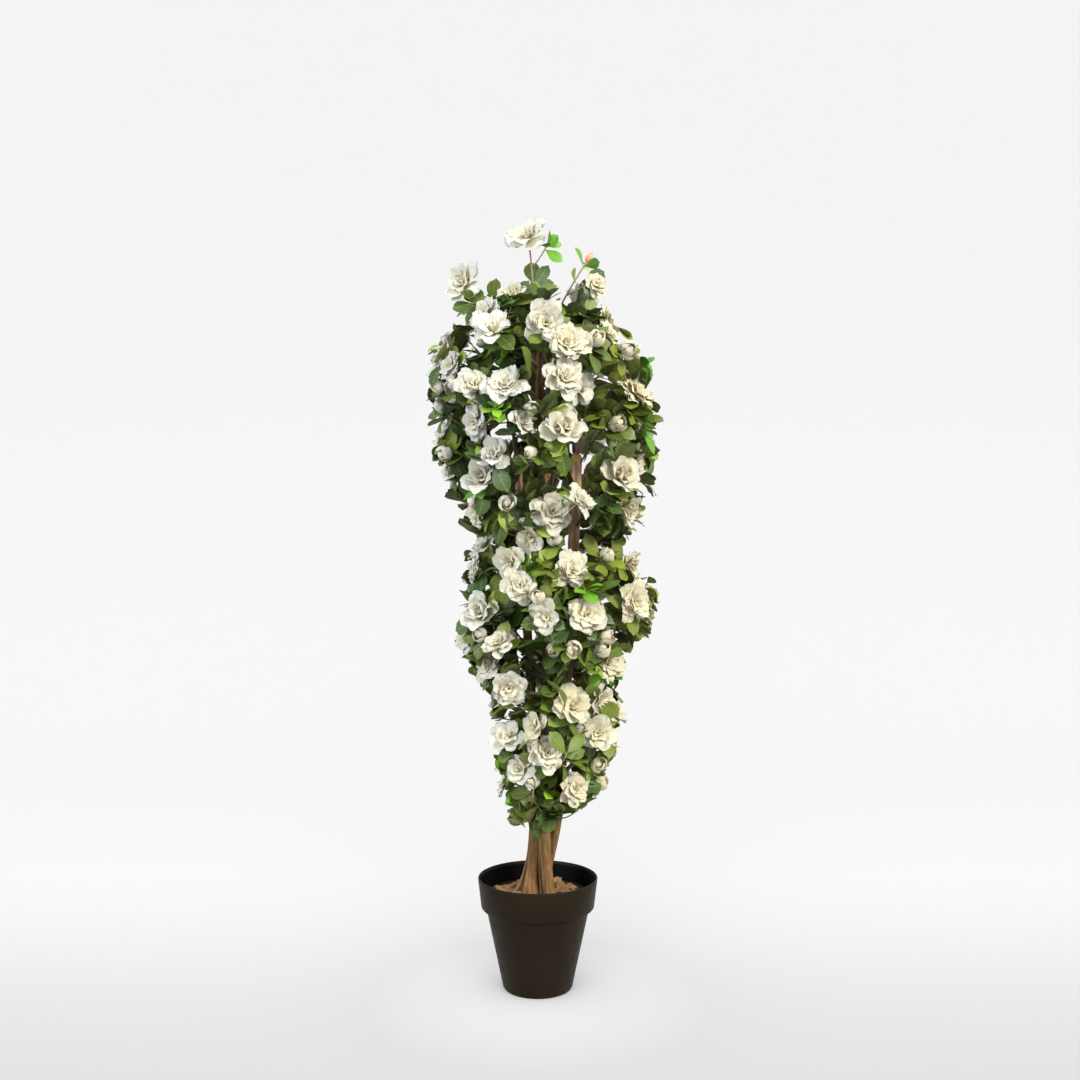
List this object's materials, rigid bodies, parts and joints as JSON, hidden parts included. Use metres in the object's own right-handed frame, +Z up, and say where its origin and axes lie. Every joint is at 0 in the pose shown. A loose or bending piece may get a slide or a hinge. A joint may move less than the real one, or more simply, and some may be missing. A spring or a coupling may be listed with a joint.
{
  "type": "artificial azalea tree",
  "caption": "Tall slim artificial azalea tree: real wood stems in a filled nursery pot, carrying sprays of leaves and white double blooms to the top.",
  "frame": {"origin": "centre of the pot's flat underside, where it stands on the floor", "axes": "+Z up along the stems, -Y to the front, +X to the right seen from the front"},
  "size_m": [0.364, 0.3524, 1.1904],
  "materials": {
    "pot": "matte",
    "fill": "rough cement",
    "chips": "rough cork bark",
    "wood": "peeled, weathered wood",
    "foliage": "satin printed cloth"
  },
  "bodies": {
    "root": {"pot": "pot", "planting_fill": "fill", "bark_chips": "chips", "trunk_front": "wood", "trunk_left": "wood", "trunk_right": "wood", "foliage_01_front_left": "foliage", "foliage_01_back_right": "foliage", "foliage_02_right": "foliage", "foliage_02_left": "foliage", "foliage_03_front": "foliage", "foliage_03_right": "foliage", "foliage_03_back_left": "foliage", "foliage_04_front": "foliage", "foliage_04_back_right": "foliage", "foliage_04_left": "foliage", "foliage_05_front_left": "foliage", "foliage_05_front_right": "foliage", "foliage_05_back": "foliage", "foliage_06_right": "foliage", "foliage_06_back": "foliage", "foliage_06_back_left": "foliage", "foliage_06_front_left": "foliage", "foliage_06_front": "foliage", "foliage_07_front": "foliage", "foliage_07_back_right": "foliage", "foliage_07_left": "foliage", "foliage_08_front": "foliage", "foliage_08_back_right": "foliage", "foliage_08_back_left": "foliage", "foliage_09_front_right": "foliage", "foliage_09_back_right": "foliage", "foliage_09_back_left": "foliage", "foliage_09_front_left": "foliage", "bough_10_front": "wood", "foliage_10_front": "foliage", "foliage_10_right": "foliage", "bough_10_back": "wood", "foliage_10_back": "foliage", "foliage_10_left": "foliage", "bough_11_front": "wood", "foliage_11_front": "foliage", "foliage_11_right": "foliage", "bough_11_back": "wood", "foliage_11_back": "foliage", "bough_11_left": "wood", "foliage_11_left": "foliage", "foliage_12_front": "foliage", "bough_12_right": "wood", "foliage_12_right": "foliage", "bough_12_back": "wood", "foliage_12_back": "foliage", "bough_12_left": "wood", "foliage_12_left": "foliage", "foliage_13_front_left": "foliage", "foliage_13_right": "foliage", "foliage_13_back": "foliage", "foliage_top": "foliage", "foliage_top_left": "foliage", "foliage_top_right": "foliage"}
  },
  "joints": []
}
